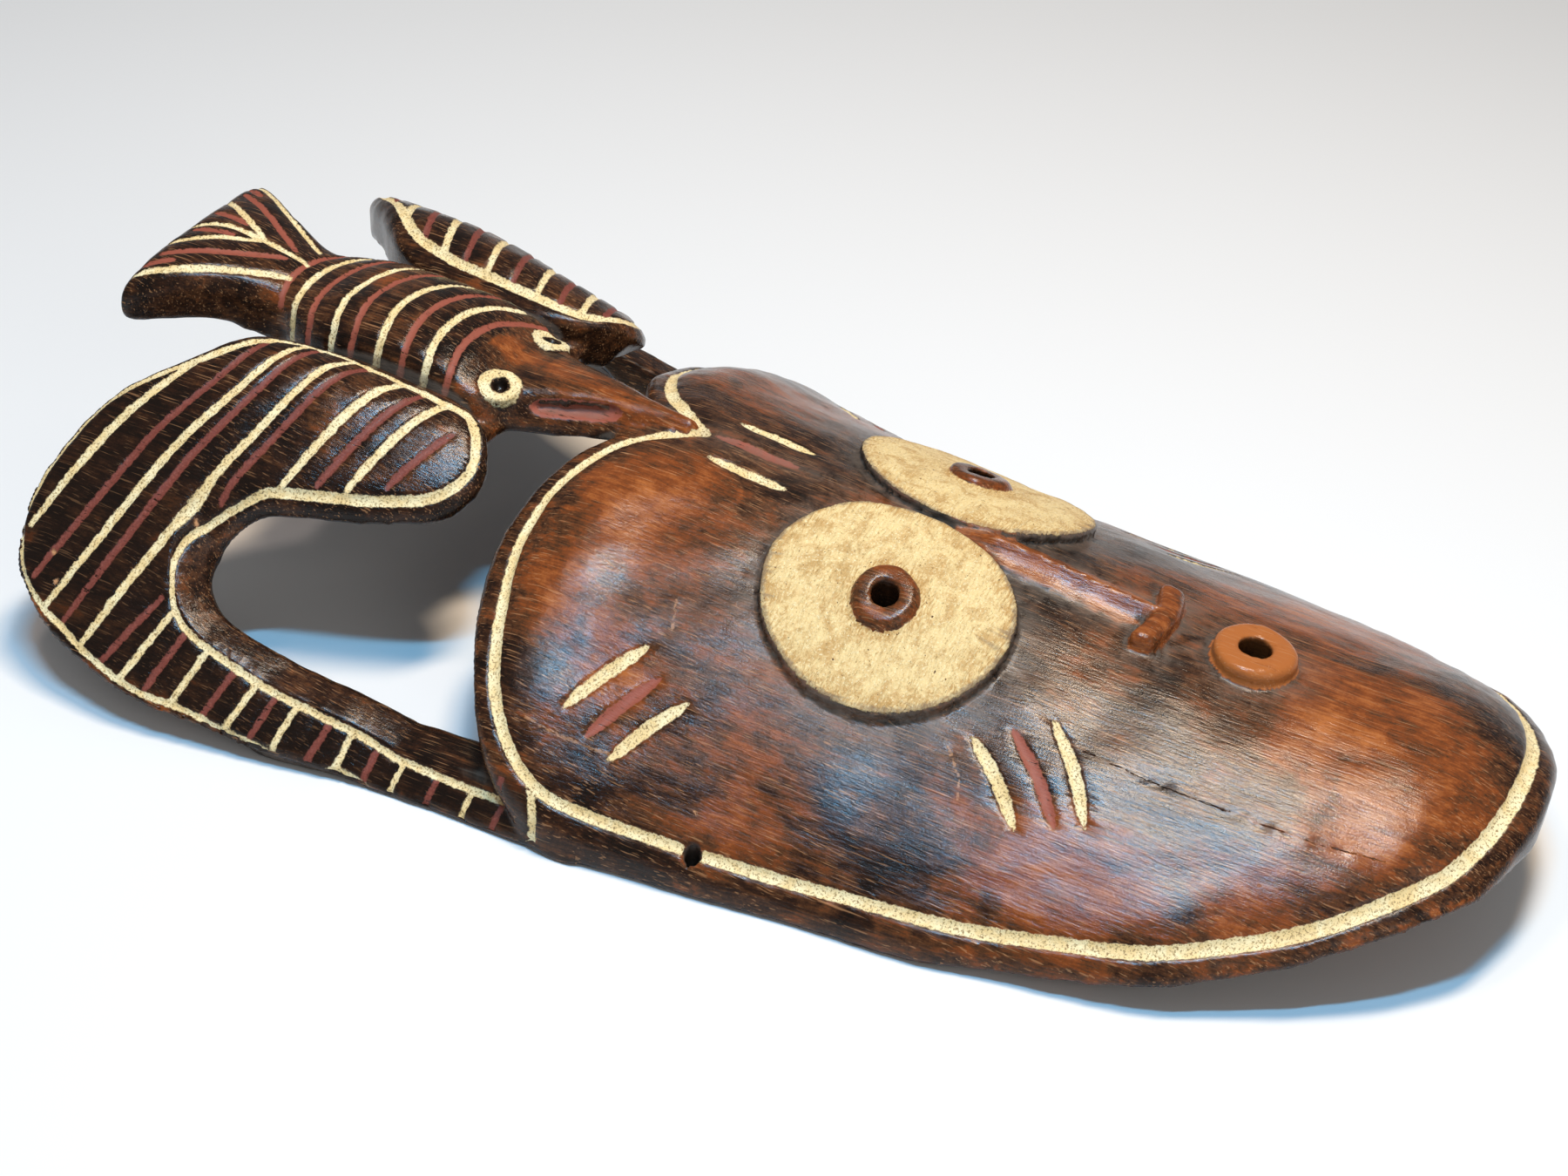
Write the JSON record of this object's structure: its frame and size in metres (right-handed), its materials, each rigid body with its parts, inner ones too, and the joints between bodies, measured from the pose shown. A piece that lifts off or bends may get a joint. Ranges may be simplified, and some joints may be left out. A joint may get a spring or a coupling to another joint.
{
  "type": "mask",
  "caption": "Carved wooden face mask: domed oval face with ringed disc eyes, slim nose and round mouth, crested by a bird whose hooked wings reach the temples.",
  "frame": {"origin": "centre of the mask's bounding box seen from the front, on the plane that its back rests on", "axes": "+Y from the chin towards the bird's tail, +Z out of the face, away from the wearer, X across the mask"},
  "size_m": [0.262, 0.4534, 0.0937],
  "materials": {
    "carved_wood": "dark brown stained and polished wood with worn reddish patches, cream and matte red painted lines"
  },
  "bodies": {
    "root": {"mask": "carved_wood"}
  },
  "joints": []
}
